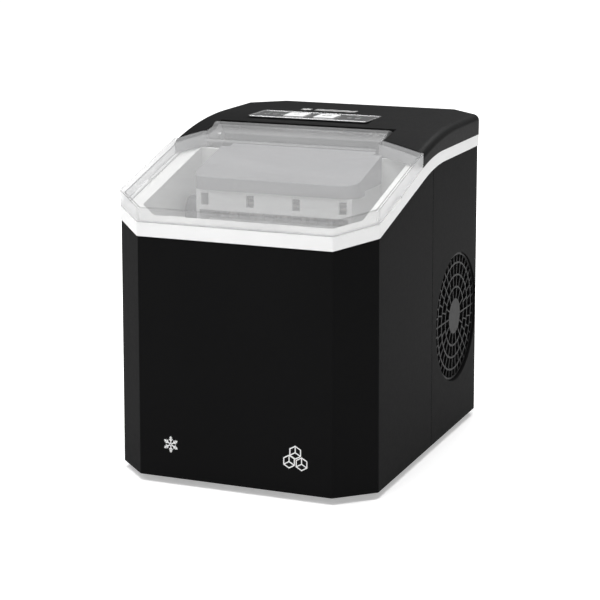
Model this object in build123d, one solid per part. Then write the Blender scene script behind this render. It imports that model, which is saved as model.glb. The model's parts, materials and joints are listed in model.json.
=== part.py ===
from build123d import *
import math
import os

os.makedirs("parts", exist_ok=True)

# Countertop ice maker. Millimetres, +Z up, front face towards -Y, air grille on +X.
# The origin is on the ground under the middle of the body.

# ---- body -----------------------------------------------------------------
WIDTH = 230.0              # at the trim band
DEPTH = 320.0
TOP_Z = 285.0              # flat of the top cover
FOOT_HEIGHT = 6.0
DRAFT = 1.5                # the housing is this much wider all round at its foot
WALL = 2.5
FRONT = -DEPTH / 2
REAR = DEPTH / 2
HALF = WIDTH / 2
CHAMFER_X = 29.0
CHAMFER_Y = 27.5
CORNER_R = 2.5
SEAM_Y = FRONT + 164.0
SEAM_GAP = 0.8
LIP_LENGTH = 8.0           # tongue of the front housing behind the seam
FIT_GAP = 0.4

# ---- sloping line of band, lid and top cover --------------------------------
SLOPE = math.radians(15.4)
BAND_LOW_FRONT = 210.7
BAND_LOW_REAR = 256.4
BAND_HIGH_FRONT = 222.2
BAND_HIGH_REAR = 266.4
BAND_BEND_R = 205.0
BAND_PROUD = 0.8
BAND_WALL = 3.4
LID_FRONT_Z = 235.2
LID_BEND_R = 380.0

# ---- lid and hinge ------------------------------------------------------------
LID_WALL = 2.5
LID_SEAT_GAP = 0.4         # lid lip above the band
LID_SIDE_END = FRONT + 133.0
LID_SHOULDER_Y = FRONT + 152.5
TAB_X = -11.0              # the hinge tab sits slightly left of the middle, like the panel
TAB_HALF = 82.5
TAB_LEFT = TAB_X - TAB_HALF
TAB_RIGHT = TAB_X + TAB_HALF
BARREL_R = 12.0
HINGE_Y = FRONT + 174.0
HINGE_Z = LID_FRONT_Z + math.tan(SLOPE) * (HINGE_Y - FRONT) - BARREL_R / math.cos(SLOPE)
PIN_R = 2.0
RUNNING_GAP = 0.05
LID_GAP = 1.2              # lid to top cover, enough for the shoulders to swing past
LIP_HEIGHT = 9.5
COVER_EDGE_R = 6.0

# ---- control panel ----------------------------------------------------------
PANEL_X = -17.0
PANEL_Y = FRONT + 220.0
PANEL_W = 115.0
PANEL_D = 40.0
PANEL_PROUD = 0.8
PANEL_CORNER_R = 3.0
BUTTON_W = 19.0
BUTTON_D = 20.0
BUTTON_X = PANEL_X - 2.5
BUTTON_OFFSET = 14.5
LED_OFFSET = 6.0

# ---- side grille and fan ----------------------------------------------------
GRILLE_Y = FRONT + 234.4
GRILLE_Z = 108.3
GRILLE_R = 58.2
GRILLE_BEVEL = 1.8
GRILLE_THICK = 2.6
GRILLE_FACE_X = HALF - 1.2
GRILLE_RINGS = (0.46, 0.65, 0.84)
GRILLE_RIBS = (14, 22, 30, 38)
FAN_X = 97.0
FAN_R = 50.0
FAN_HUB_R = 19.0
FAN_BLADES = 7

# ---- chamber, basket and ice module -----------------------------------------
TUB_INSET = 15.0
TUB_WALL = 2.0
TUB_REAR = FRONT + 154.0
TUB_FLOOR_Z = 58.0
FLANGE_DROP = 1.6
FLANGE_THICK = 2.0
BASKET_REAR = FRONT + 79.0
BASKET_Z = 126.0
BASKET_TOP = 213.0
TRAY_Y = FRONT + 118.0
TRAY_Z = 214.0
TRAY_R = 27.0
TRAY_HALF = 62.0
TRAY_WALL = 2.0
TRAY_RIM_DROP = 2.0
TRAY_END_DROP = 6.5
TRAY_HUB_R = 7.0
TRAY_PIN_R = 3.0
FINGER_PITCH = 24.0
FINGER_ROW = 8.0
FINGER_R = 4.5
FINGER_LENGTH = 27.0
EVAP_TUBE_R = 3.5
EVAP_Z = TRAY_Z + 10.0
FRAME_X = 68.0
FRAME_WALL = 3.0
CHUTE_Z = 161.0
PUSHER_Y = FRONT + 141.5
PUSHER_Z = 174.5
PUSHER_TRAVEL = 24.0
FASCIA_Y = FRONT + 82.0
FASCIA_TOP = 237.5

# ---- water side ---------------------------------------------------------------
FLOAT_X = -86.0
FLOAT_Y = FRONT + 140.0
FLOAT_Z = 92.0
DRAIN_X = -84.0
DRAIN_Y = FRONT + 60.0
DRAIN_Z = 32.0
DRAIN_R = 7.0
DRAIN_BORE_R = 5.0
DRAIN_CUP_R = 11.5
DRAIN_FACE_X = -HALF + 6.5    # mouth of the drain, at the bottom of its cup
PUMP_X = -88.0
PUMP_Y = FRONT + 180.0

# ---- cooling side -------------------------------------------------------------
BASE_THICK = 3.0
BASE_TOP = FOOT_HEIGHT + BASE_THICK
COMP_X = -34.0
COMP_Y = FRONT + 238.0
COMP_R = 50.0
COMP_BOTTOM = 24.0
COMP_TOP = COMP_BOTTOM + 128.0
COMP_SEAM_Z = COMP_BOTTOM + 74.0
COMP_FOOT_R = 60.0
COMP_WALL = 3.0
CRADLE_THICK = 3.0
COND_X = 62.0
COND_W = 26.0
COND_Y = FRONT + 234.4
COND_LENGTH = 108.0
COND_BOTTOM = 48.0
COND_HEIGHT = 122.0
FIN_PITCH = 4.5
COND_ROW = 6.5             # tube rows either side of the middle
COND_PASS = 24.0           # height between passes
COND_TUBE_R = 3.5
GLAND_X = -70.0
GLAND_Z = 42.0
CORD_R = 3.5
TRAY_BOARD_Z = 226.0


def place(shape, x=0.0, y=0.0, z=0.0):
    return Pos(x, y, z) * shape


def block(x0, x1, y0, y1, z0, z1):
    return Pos((x0 + x1) / 2, (y0 + y1) / 2, (z0 + z1) / 2) * Box(x1 - x0, y1 - y0, z1 - z0)


def rod_x(radius, x0, x1, y, z):
    return Pos((x0 + x1) / 2, y, z) * Rot(0, 90, 0) * Cylinder(radius, x1 - x0)


def rod_y(radius, x, y0, y1, z):
    return Pos(x, (y0 + y1) / 2, z) * Rot(90, 0, 0) * Cylinder(radius, y1 - y0)


def rod_z(radius, x, y, z0, z1):
    return Pos(x, y, (z0 + z1) / 2) * Cylinder(radius, z1 - z0)


def tube_along(points, bends, radius, bore=0.0):
    path = FilletPolyline(*points, radius=bends)
    start = Plane(origin=path @ 0, z_dir=path % 0)
    tube = sweep(start * Circle(radius), path=path)
    if bore:
        tube -= sweep(start * Circle(bore), path=path)
    return tube


def footprint(inset=0.0, corner=CORNER_R):
    """Eight-sided plan of the body, moved in by inset."""
    right = [
        (HALF - CHAMFER_X, FRONT),
        (HALF, FRONT + CHAMFER_Y),
        (HALF, REAR - CHAMFER_Y),
        (HALF - CHAMFER_X, REAR),
    ]
    left = [(-x, y) for x, y in reversed(right)]
    plan = make_face(Polyline(*right, *left, close=True))
    if inset:
        plan = offset(plan, amount=-inset, kind=Kind.INTERSECTION)
    return fillet(plan.vertices(), corner) if corner else plan


def prism(inset, z0, z1, corner=CORNER_R, taper=0.0):
    return place(extrude(footprint(inset, corner), z1 - z0, taper=taper), z=z0)


def under_line(front_z, rear_z, bend_r, drop=0.0):
    """Everything under the sloping line: up at SLOPE, round a bend, then level."""
    y0 = FRONT - 20
    y1 = REAR + 20
    bend_y = FRONT + (rear_z - front_z) / math.tan(SLOPE)
    start_z = front_z - 20 * math.tan(SLOPE)
    outline = Polyline((y0, -5), (y0, start_z - drop), (bend_y, rear_z - drop), (y1, rear_z - drop),
                       (y1, -5), close=True)
    face = make_face(outline)
    bend = face.vertices().sort_by_distance((bend_y, rear_z - drop, 0))[0]
    return extrude(Plane.YZ * fillet(bend, bend_r), HALF + 20, both=True)


def under_band_low():
    return under_line(BAND_LOW_FRONT, BAND_LOW_REAR, BAND_BEND_R)


def under_band_high(drop=0.0):
    return under_line(BAND_HIGH_FRONT, BAND_HIGH_REAR, BAND_BEND_R, drop)


def under_top(drop=0.0):
    return under_line(LID_FRONT_Z, TOP_Z, LID_BEND_R, drop)


def slots_in_row(count, pitch, length, width, depth):
    """Rounded slots, long along X, stacked along Y, centred on the origin."""
    slot = extrude(SlotOverall(length, width), depth / 2, both=True)
    rise = (count - 1) * pitch / 2
    return [Pos(0, i * pitch - rise, 0) * slot for i in range(count)]


def screw(head_r, head_h, shank_r, length):
    """Pan-head screw, head up, with its seat on the XY plane."""
    head = place(Cylinder(head_r, head_h), z=head_h / 2)
    head = fillet(head.edges().group_by(Axis.Z)[-1], head_h * 0.45)
    recess = Pos(0, 0, head_h) * (Box(head_r, 0.9, 1.2) + Box(0.9, head_r, 1.2))
    return head + place(Cylinder(shank_r, length), z=-length / 2) - recess


# ---- casing -------------------------------------------------------------------
def housing_taper():
    return math.degrees(math.atan(DRAFT / (BAND_LOW_FRONT - FOOT_HEIGHT)))


def housing_shell():
    taper = housing_taper()
    outer = prism(-DRAFT, FOOT_HEIGHT, BAND_LOW_REAR + 5, taper=taper)
    inner = prism(WALL - DRAFT, FOOT_HEIGHT - 1, BAND_LOW_REAR + 6, taper=taper)
    return (outer - inner) & under_band_low()


def front_housing():
    wall = housing_shell() & block(-150, 150, FRONT - 20, SEAM_Y - SEAM_GAP / 2, 0, 300)
    taper = housing_taper()
    tongue = prism(WALL + 0.3 - DRAFT, FOOT_HEIGHT, BAND_LOW_REAR, taper=taper)
    tongue -= prism(WALL + 1.8 - DRAFT, FOOT_HEIGHT - 1, BAND_LOW_REAR + 1, taper=taper)
    tongue &= block(-150, 150, SEAM_Y - 12, SEAM_Y + LIP_LENGTH, BASE_TOP + 1, 300)
    root = prism(WALL - 0.5 - DRAFT, FOOT_HEIGHT, BAND_LOW_REAR, taper=taper)
    root -= prism(WALL + 1.8 - DRAFT, FOOT_HEIGHT - 1, BAND_LOW_REAR + 1, taper=taper)
    root &= block(-150, 150, SEAM_Y - 12, SEAM_Y - 3, BASE_TOP + 1, 300)
    cup = rod_x(DRAIN_CUP_R + 2, -HALF - 0.5, DRAIN_FACE_X + 3, DRAIN_Y, DRAIN_Z)
    drain = rod_x(DRAIN_CUP_R, -HALF - 10, -HALF + 12, DRAIN_Y, DRAIN_Z)
    return wall + cup + ((tongue + root) & under_band_low()) - drain


def rear_housing():
    wall = housing_shell() & block(-150, 150, SEAM_Y + SEAM_GAP / 2, REAR + 20, 0, 300)
    opening = rod_x(GRILLE_R, HALF - 15, HALF + 15, GRILLE_Y, GRILLE_Z)
    bevel = Pos(HALF + 0.8, GRILLE_Y, GRILLE_Z) * Rot(0, 90, 0) * Cone(
        GRILLE_R - 0.4, GRILLE_R + GRILLE_BEVEL, 2.4)
    side_vent = Plane.YZ.offset(-HALF) * Pos(GRILLE_Y, 150) * Part(
        children=slots_in_row(9, 8.0, 62.0, 3.2, 20.0))
    rear_vent = Plane.XZ.offset(-REAR) * Pos(0, 150) * Part(
        children=slots_in_row(9, 8.0, 96.0, 3.2, 20.0))
    gland = rod_y(7.0, GLAND_X, REAR - 10, REAR + 10, GLAND_Z)
    return wall - opening - bevel - side_vent - rear_vent - gland


def base_plate():
    plate = prism(WALL + 0.5 - DRAFT, FOOT_HEIGHT, BASE_TOP)
    vents = Pos(0, COMP_Y, FOOT_HEIGHT) * Part(children=slots_in_row(5, 12.0, 70.0, 4.0, 20.0))
    plate -= Pos(COND_X - 10, 0, 0) * vents
    for x, y in foot_places():
        plate -= rod_z(3.0, x, y, 0, 20)
    return plate


def foot_places():
    return [(x, y) for x in (-78.0, 78.0) for y in (FRONT + 38, REAR - 38)]


def rubber_feet():
    feet = []
    for x, y in foot_places():
        pad = Pos(x, y, FOOT_HEIGHT / 2) * Cone(8.5, 10.0, FOOT_HEIGHT)
        feet.append(pad + rod_z(2.9, x, y, FOOT_HEIGHT, BASE_TOP + 1.5))
    return feet


def trim_band():
    ring = prism(-BAND_PROUD, 180, 290) - prism(BAND_WALL, 170, 300)
    ring &= under_band_high()
    ring -= under_band_low()
    catch = block(HALF - 3, HALF + 3, FRONT + 52, FRONT + 80, 200, 300)
    catch -= under_band_high(2.2)
    return ring - catch - mirror(catch, Plane.YZ)


# ---- lid --------------------------------------------------------------------
def lid_plan(grow=0.0):
    """Rear edge of the lid in plan: side ends, sloping shoulders and a wide tab."""
    plan = make_face(Polyline(
        (HALF + 10, FRONT - 10), (HALF + 10, LID_SIDE_END), (HALF - 2, LID_SIDE_END),
        (TAB_RIGHT + 4, LID_SHOULDER_Y), (TAB_RIGHT, LID_SHOULDER_Y + 1.5), (TAB_RIGHT, HINGE_Y),
        (TAB_LEFT, HINGE_Y), (TAB_LEFT, LID_SHOULDER_Y + 1.5), (TAB_LEFT - 4, LID_SHOULDER_Y),
        (2 - HALF, LID_SIDE_END), (-HALF - 10, LID_SIDE_END), (-HALF - 10, FRONT - 10), close=True))
    if grow:
        plan = offset(plan, amount=grow, kind=Kind.INTERSECTION)
    return plan


def lid_body(inset, drop):
    """Solid under the lid's top, inset from its outline and lowered by drop."""
    plan = place(extrude(lid_plan(-inset), 200), z=150)
    body = prism(inset - BAND_PROUD, 180, 300, corner=CORNER_R + 0.5) & plan & under_top(drop)
    barrel = rod_x(BARREL_R - drop, TAB_LEFT + inset, TAB_RIGHT - inset, HINGE_Y, HINGE_Z)
    return body, barrel


def lid():
    body, barrel = lid_body(0.0, 0.0)
    hollow, bore = lid_body(LID_WALL, LID_WALL)
    below_barrel = block(TAB_LEFT + LID_WALL, TAB_RIGHT - LID_WALL, LID_SHOULDER_Y, HINGE_Y + BARREL_R + 1,
                         200, HINGE_Z)
    shell = body - under_band_high(-LID_SEAT_GAP) + barrel
    shell = shell - hollow - bore - below_barrel
    shell = shell + lid_rib() + lid_step()
    return shell - rod_x(PIN_R + RUNNING_GAP, TAB_LEFT - 1, TAB_RIGHT + 1, HINGE_Y, HINGE_Z)


def lid_rib():
    """Stiffening rib under the bend where the tab begins."""
    rib = block(TAB_LEFT + 2, TAB_RIGHT - 2, FRONT + 142, FRONT + 144, 200, 300)
    return (rib & under_top(LID_WALL - 0.2)) - under_top(LID_WALL + 2.5)


def lid_step():
    """Ledge round the lid's inside, level with the top of its upright lip."""
    ring = prism(LID_WALL - 0.3 - BAND_PROUD, 180, 300) - prism(LID_WALL + 1.6 - BAND_PROUD, 180, 300)
    ring &= block(-150, 150, FRONT, FRONT + 128, 0, 300)
    ring &= under_band_high(-LIP_HEIGHT - 1.5)
    return ring - under_band_high(-LIP_HEIGHT)


def hinge_pins():
    left = rod_x(PIN_R, TAB_LEFT - 8, TAB_LEFT + 5, HINGE_Y, HINGE_Z)
    right = rod_x(PIN_R, TAB_RIGHT - 5, TAB_RIGHT + 8, HINGE_Y, HINGE_Z)
    return [left, right]


# ---- top cover and controls -----------------------------------------------------
def cover_blank(inset, drop):
    rear = block(-150, 150, LID_SIDE_END + LID_GAP + inset, REAR + 20, 0, 300)
    blank = prism(inset - BAND_PROUD, 180, 300, corner=CORNER_R + 0.5) & rear & under_top(drop)
    return blank - under_band_high()


def lid_pocket(grow, floor_z):
    """Space the lid's shoulders and barrel need, grown by a gap."""
    plan = place(extrude(lid_plan(grow), 100), z=floor_z)
    swing = rod_x(BARREL_R + grow, TAB_LEFT - grow, TAB_RIGHT + grow, HINGE_Y, HINGE_Z)
    above = block(TAB_LEFT - grow, TAB_RIGHT + grow, HINGE_Y - 1, HINGE_Y + BARREL_R + grow, HINGE_Z, 320)
    return plan + (swing & block(-150, 150, -200, 200, floor_z, 300)) + above


def top_cover():
    blank = cover_blank(0.0, 0.0)
    top_edges = blank.edges().filter_by(lambda e: e.center().Z > TOP_Z - 1 and e.center().Y > 60)
    blank = fillet(top_edges, COVER_EDGE_R)
    pocket_wall = lid_pocket(LID_GAP + WALL, HINGE_Z - BARREL_R - LID_GAP - WALL)
    pocket = lid_pocket(LID_GAP, HINGE_Z - BARREL_R - LID_GAP)
    hollow = cover_blank(WALL, WALL) - pocket_wall
    cover = blank - hollow - pocket
    cover += rod_x(5.0, TAB_LEFT - 8, TAB_LEFT - LID_GAP - 0.5, HINGE_Y, HINGE_Z)
    cover += rod_x(5.0, TAB_RIGHT + LID_GAP + 0.5, TAB_RIGHT + 8, HINGE_Y, HINGE_Z)
    cover -= rod_x(PIN_R, TAB_LEFT - 8, TAB_RIGHT + 8, HINGE_Y, HINGE_Z)
    return cover - panel_opening()


def panel_plan(grow):
    corner = max(PANEL_CORNER_R + grow, 0.8)
    return Pos(PANEL_X, PANEL_Y) * RectangleRounded(PANEL_W + 2 * grow, PANEL_D + 2 * grow, corner)


def panel_opening():
    return place(extrude(panel_plan(-4.0), 20), z=TOP_Z - 12)


def panel_bezel():
    frame = extrude(panel_plan(0.0), PANEL_PROUD) - extrude(panel_plan(-1.6), PANEL_PROUD)
    return place(frame, z=TOP_Z)


def button_places():
    return {"power": BUTTON_X - BUTTON_OFFSET, "select": BUTTON_X + BUTTON_OFFSET}


def panel_overlay():
    plate = place(extrude(panel_plan(-1.6), PANEL_PROUD - 0.3), z=TOP_Z)
    plug = place(extrude(panel_plan(-4.0), WALL), z=TOP_Z - WALL)
    plate += plug
    for x in button_places().values():
        plate -= block(x - BUTTON_W / 2 - 0.3, x + BUTTON_W / 2 + 0.3,
                       PANEL_Y - BUTTON_D / 2 - 0.3, PANEL_Y + BUTTON_D / 2 + 0.3, TOP_Z - 10, TOP_Z + 5)
    for x in led_places():
        plate -= rod_z(1.5, x, PANEL_Y + LED_OFFSET, TOP_Z - 10, TOP_Z + 5)
    return plate


def led_places():
    right = [PANEL_X + 34 + 8 * i for i in range(2)]
    left = [PANEL_X - 46 + 8 * i for i in range(3)]
    return left + right


def button(x):
    cap = block(x - BUTTON_W / 2, x + BUTTON_W / 2, PANEL_Y - BUTTON_D / 2, PANEL_Y + BUTTON_D / 2,
                TOP_Z - WALL, TOP_Z + 1.3)
    cap = fillet(cap.edges().group_by(Axis.Z)[-1], 0.6)
    return cap + rod_z(2.5, x, PANEL_Y, TOP_Z - 8.2, TOP_Z - WALL)


def indicator_leds():
    return [rod_z(1.4, x, PANEL_Y + LED_OFFSET, TOP_Z - 12, TOP_Z + 0.4) for x in led_places()]


def control_board():
    return block(PANEL_X - 56, PANEL_X + 56, PANEL_Y - 18, PANEL_Y + 18, TOP_Z - 14, TOP_Z - 12.4)


def board_posts():
    posts = []
    for sx in (-1, 1):
        for sy in (-1, 1):
            posts.append(rod_z(2.5, PANEL_X + sx * 51, PANEL_Y + sy * 12.5, TOP_Z - 12.4, TOP_Z - WALL))
    return posts


def key_switches():
    switches = []
    for x in button_places().values():
        body = block(x - 3, x + 3, PANEL_Y - 3, PANEL_Y + 3, TOP_Z - 12.4, TOP_Z - 9.6)
        switches.append(body + rod_z(1.6, x, PANEL_Y, TOP_Z - 9.6, TOP_Z - 9.1))
    return switches


# ---- side grille and fan -----------------------------------------------------
def ring_x(outer, inner, thick, x):
    ring = Cylinder(outer, thick) - Cylinder(inner, thick)
    return Pos(x, GRILLE_Y, GRILLE_Z) * Rot(0, 90, 0) * ring


def side_grille():
    """Round insert: a blank centre, three rings and radial ribs staggered between them."""
    thick = GRILLE_THICK
    radii = [0.26 * GRILLE_R] + [r * GRILLE_R for r in GRILLE_RINGS] + [0.965 * GRILLE_R]
    face = Circle(radii[0] + 1.0)
    for radius in radii[1:-1]:
        face += Circle(radius + 0.8) - Circle(radius - 0.8)
    face += Circle(GRILLE_R - 0.2) - Circle(radii[-1])
    for inner, outer, count in zip(radii[:-1], radii[1:], GRILLE_RIBS):
        rib = Pos((inner + outer) / 2, 0) * Rectangle(outer - inner + 1.0, 1.3)
        for i in range(count):
            face += Rot(0, 0, 360 * (i + 0.5) / count) * rib
    plate = extrude(face, thick)
    flange = Pos(0, 0, -1.6) * extrude(Circle(GRILLE_R + 4) - Circle(GRILLE_R - 3), 1.6)
    insert = Pos(GRILLE_FACE_X - thick, GRILLE_Y, GRILLE_Z) * Rot(0, 90, 0) * (plate + flange)
    return insert & block(0, 150, FRONT, REAR - CHAMFER_Y - 0.5, 0, 300)


def fan_shroud():
    """Square fan frame with a round throat and four motor spokes."""
    frame = Box(2 * FAN_R + 12, 2 * FAN_R + 12, 22)
    frame = fillet(frame.edges().filter_by(Axis.Z), 9.0)
    frame -= Cylinder(FAN_R + 2.0, 22)
    spoke = Pos((FAN_HUB_R + FAN_R) / 2 + 2, 0, -9.5) * Box(FAN_R - FAN_HUB_R + 6, 4, 3)
    for i in range(4):
        frame += Rot(0, 0, 45 + 90 * i) * spoke
    cup = Pos(0, 0, -9.5) * (Cylinder(FAN_HUB_R, 3) - Cylinder(2.2, 3))
    return Pos(FAN_X, GRILLE_Y, GRILLE_Z) * Rot(0, 90, 0) * (frame + cup)


def fan_motor():
    stator = Pos(0, 0, -4.5) * (Cylinder(14.0, 7.0) - Cylinder(2.2, 7.0))
    return Pos(FAN_X, GRILLE_Y, GRILLE_Z) * Rot(0, 90, 0) * stator


def fan_rotor():
    """Hub cup on a shaft, with pitched blades lofted from root to tip."""
    hub = Pos(0, 0, 2) * (Cylinder(FAN_HUB_R - 1, 16) - Pos(0, 0, -1.5) * Cylinder(FAN_HUB_R - 3, 13))
    hub += Pos(0, 0, 1) * Cylinder(2.1, 18)
    root = Plane(origin=(FAN_HUB_R - 2, 0, 2), x_dir=(0, 1, 0), z_dir=(1, 0, 0))
    tip = Plane(origin=(FAN_R, 0, 2), x_dir=(0, 1, 0), z_dir=(1, 0, 0))
    blade = loft([root * Rot(0, 0, 38) * Rectangle(17, 1.8), tip * Rot(0, 0, 24) * Rectangle(30, 1.4)])
    rotor = hub
    for i in range(FAN_BLADES):
        rotor += Rot(0, 0, 360 * i / FAN_BLADES) * blade
    return Pos(FAN_X, GRILLE_Y, GRILLE_Z) * Rot(0, 90, 0) * rotor


# ---- chamber -------------------------------------------------------------------
def chamber_plan_solid(inset, rear, z0, z1):
    return prism(inset, z0, z1, corner=4.0) & block(-150, 150, FRONT, rear, 0, 300)


def ice_chamber():
    """White tub: water in the bottom, basket and ice module above, sloping flange on top."""
    outer = chamber_plan_solid(TUB_INSET, TUB_REAR, TUB_FLOOR_Z, 280)
    inner = chamber_plan_solid(TUB_INSET + TUB_WALL, TUB_REAR - TUB_WALL, TUB_FLOOR_Z + TUB_WALL, 290)
    tub = (outer - inner) & under_band_high(FLANGE_DROP)
    flange = chamber_plan_solid(BAND_WALL + FIT_GAP, TUB_REAR, 200, 290)
    flange &= under_band_high(FLANGE_DROP)
    flange -= under_band_high(FLANGE_DROP + FLANGE_THICK)
    flange -= chamber_plan_solid(TUB_INSET + TUB_WALL, TUB_REAR - TUB_WALL, 190, 300)
    tub += flange
    for side in (-1, 1):
        x = side * (HALF - TUB_INSET - TUB_WALL - 2.5)
        tub += block(x - 3, x + 3, FRONT + 45, FRONT + 76, BASKET_Z - 6, BASKET_Z)
    tub -= rod_z(DRAIN_BORE_R, DRAIN_X, DRAIN_Y, TUB_FLOOR_Z - 1, TUB_FLOOR_Z + 5)
    tub -= rod_y(5.0, PUMP_X + 6, TUB_REAR - 5, TUB_REAR + 5, 232)
    for offset_y in (-FINGER_ROW, FINGER_ROW):
        tub -= rod_y(4.2, -56 + offset_y, TUB_REAR - 5, TUB_REAR + 5, 246)
    return tub


def foam_jacket():
    """Insulation between the tub and the housing."""
    outer = prism(WALL + 2.2, TUB_FLOOR_Z - 8, 206) & block(-150, 150, FRONT, TUB_REAR + 6, 0, 300)
    inner = chamber_plan_solid(TUB_INSET - 0.2, TUB_REAR + 0.2, TUB_FLOOR_Z - 0.2, 290)
    jacket = outer - inner
    jacket -= rod_z(DRAIN_R + 1, DRAIN_X, DRAIN_Y, 40, TUB_FLOOR_Z + 2)
    return jacket


def ice_basket():
    """Lift-out basket with slotted walls and a low rear wall under the chute."""
    inset = TUB_INSET + TUB_WALL + 5.0
    outer = chamber_plan_solid(inset, BASKET_REAR, BASKET_Z, BASKET_TOP)
    inner = chamber_plan_solid(inset + 2.0, BASKET_REAR - 2.0, BASKET_Z + 2.0, BASKET_TOP + 10)
    basket = outer - inner
    rim = chamber_plan_solid(inset - 2.5, BASKET_REAR, BASKET_TOP - 2.0, BASKET_TOP)
    rim -= chamber_plan_solid(inset + 2.0, BASKET_REAR - 2.0, BASKET_TOP - 5, BASKET_TOP + 5)
    basket += rim
    basket -= block(-80, 80, BASKET_REAR - 5, BASKET_REAR + 5, CHUTE_Z - 4, BASKET_TOP + 5)
    for i in range(9):
        x = -64 + 16 * i
        basket -= block(x - 2, x + 2, FRONT, BASKET_REAR + 5, BASKET_Z + 10, BASKET_Z + 26)
        basket -= block(x - 2, x + 2, FRONT + 34, BASKET_REAR - 14, BASKET_Z - 5, BASKET_Z + 5)
    for i in range(3):
        y = FRONT + 54 + 8 * i
        basket -= block(-HALF, HALF, y - 1.5, y + 1.5, BASKET_Z + 10, BASKET_Z + 40)
    return basket


# ---- ice module -----------------------------------------------------------------
def module_frame():
    """Two cheeks joined by the slotted fascia, the rear tie and the chute floor."""
    cheek_outline = Polyline((FASCIA_Y, FASCIA_TOP), (FASCIA_Y, 218), (FASCIA_Y + 4, CHUTE_Z),
                             (TUB_REAR - 2.2, CHUTE_Z), (TUB_REAR - 2.2, 251), (FASCIA_Y + 40, 251),
                             (FASCIA_Y + 14, FASCIA_TOP), close=True)
    cheek = extrude(Plane.YZ * make_face(cheek_outline), FRAME_WALL)
    frame = place(cheek, x=FRAME_X) + place(cheek, x=-FRAME_X - FRAME_WALL)
    frame += block(-FRAME_X - FRAME_WALL, FRAME_X + FRAME_WALL, FASCIA_Y, FASCIA_Y + 3, 220, FASCIA_TOP)
    for x in (-63.0, -21.0, 21.0, 63.0):
        frame -= block(x - 3.5, x + 3.5, FASCIA_Y - 1, FASCIA_Y + 5, 224, FASCIA_TOP - 3)
    frame += block(-FRAME_X, FRAME_X, TUB_REAR - 5.2, TUB_REAR - 2.2, 190, 222)
    frame += block(-FRAME_X, FRAME_X, FASCIA_Y + 4, TUB_REAR - 2.2, CHUTE_Z, CHUTE_Z + 2.5)
    for i in range(11):
        x = -55 + 11 * i
        frame -= block(x - 2, x + 2, FASCIA_Y + 12, TUB_REAR - 8, CHUTE_Z - 1, CHUTE_Z + 5)
    frame -= rod_x(TRAY_PIN_R + RUNNING_GAP, -FRAME_X - 5, FRAME_X + 5, TRAY_Y, TRAY_Z)
    guide = block(-FRAME_X - 5, FRAME_X + 5, PUSHER_Y - PUSHER_TRAVEL - 3, PUSHER_Y + 3,
                  PUSHER_Z - 2.7, PUSHER_Z + 2.7)
    return frame - guide


def module_cover():
    """Grey hood over the evaporator, parallel to the lid, its rear corners clear of the lid's shoulders."""
    hood = block(-75, 75, FASCIA_Y - 1.5, TUB_REAR - 3, FASCIA_TOP, 300) & under_top(9.0)
    front_edges = hood.edges().filter_by(Axis.Z).group_by(Axis.Y)[0]
    hood = fillet(front_edges, 12.0)
    hollow = block(-73, 73, FASCIA_Y + 0.5, TUB_REAR, 230, 300) & under_top(11.0)
    hollow = fillet(hollow.edges().filter_by(Axis.Z).group_by(Axis.Y)[0], 10.0)
    hood -= hollow
    hood -= block(-75, 75, FASCIA_Y + 20, TUB_REAR, 230, FASCIA_TOP + 4)
    for offset_y in (-FINGER_ROW, FINGER_ROW):
        hood -= rod_y(4.2, -56 + offset_y, TUB_REAR - 15, TUB_REAR + 5, 246)
    corner = block(TAB_RIGHT - LID_WALL - 2, 80, TUB_REAR - 10, TUB_REAR, FASCIA_TOP - 1, 300)
    return hood - corner - mirror(corner, Plane.YZ)


def finger_places():
    front = [(FINGER_PITCH * (i - 2), -FINGER_ROW) for i in range(5)]
    rear = [(FINGER_PITCH * (i - 1.5), FINGER_ROW) for i in range(4)]
    return front + rear


def ice_fingers():
    """Nine blind fingers with rounded tips, hanging from the tube into the trough."""
    fingers = []
    top = EVAP_Z - EVAP_TUBE_R
    for x, dy in finger_places():
        shank = rod_z(FINGER_R, x, TRAY_Y + dy, top - FINGER_LENGTH, top)
        fingers.append(fillet(shank.edges().group_by(Axis.Z)[0], FINGER_R * 0.8))
    return fingers


def evaporator_tube():
    """Hairpin over the two rows of fingers, rising at its open end and leaving to the rear."""
    y0 = TRAY_Y - FINGER_ROW
    y1 = TRAY_Y + FINGER_ROW
    x_end = 58.0
    riser = 246.0
    outlet = TUB_REAR + 20
    points = [
        (-56 - FINGER_ROW, outlet, riser), (-56 - FINGER_ROW, y0, riser), (-56 - FINGER_ROW, y0, EVAP_Z),
        (x_end, y0, EVAP_Z), (x_end, y1, EVAP_Z), (-56 + FINGER_ROW, y1, EVAP_Z),
        (-56 + FINGER_ROW, y1, riser), (-56 + FINGER_ROW, outlet, riser),
    ]
    return tube_along(points, [9.0, 9.0, 7.5, 7.5, 9.0, 9.0], EVAP_TUBE_R)


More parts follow.
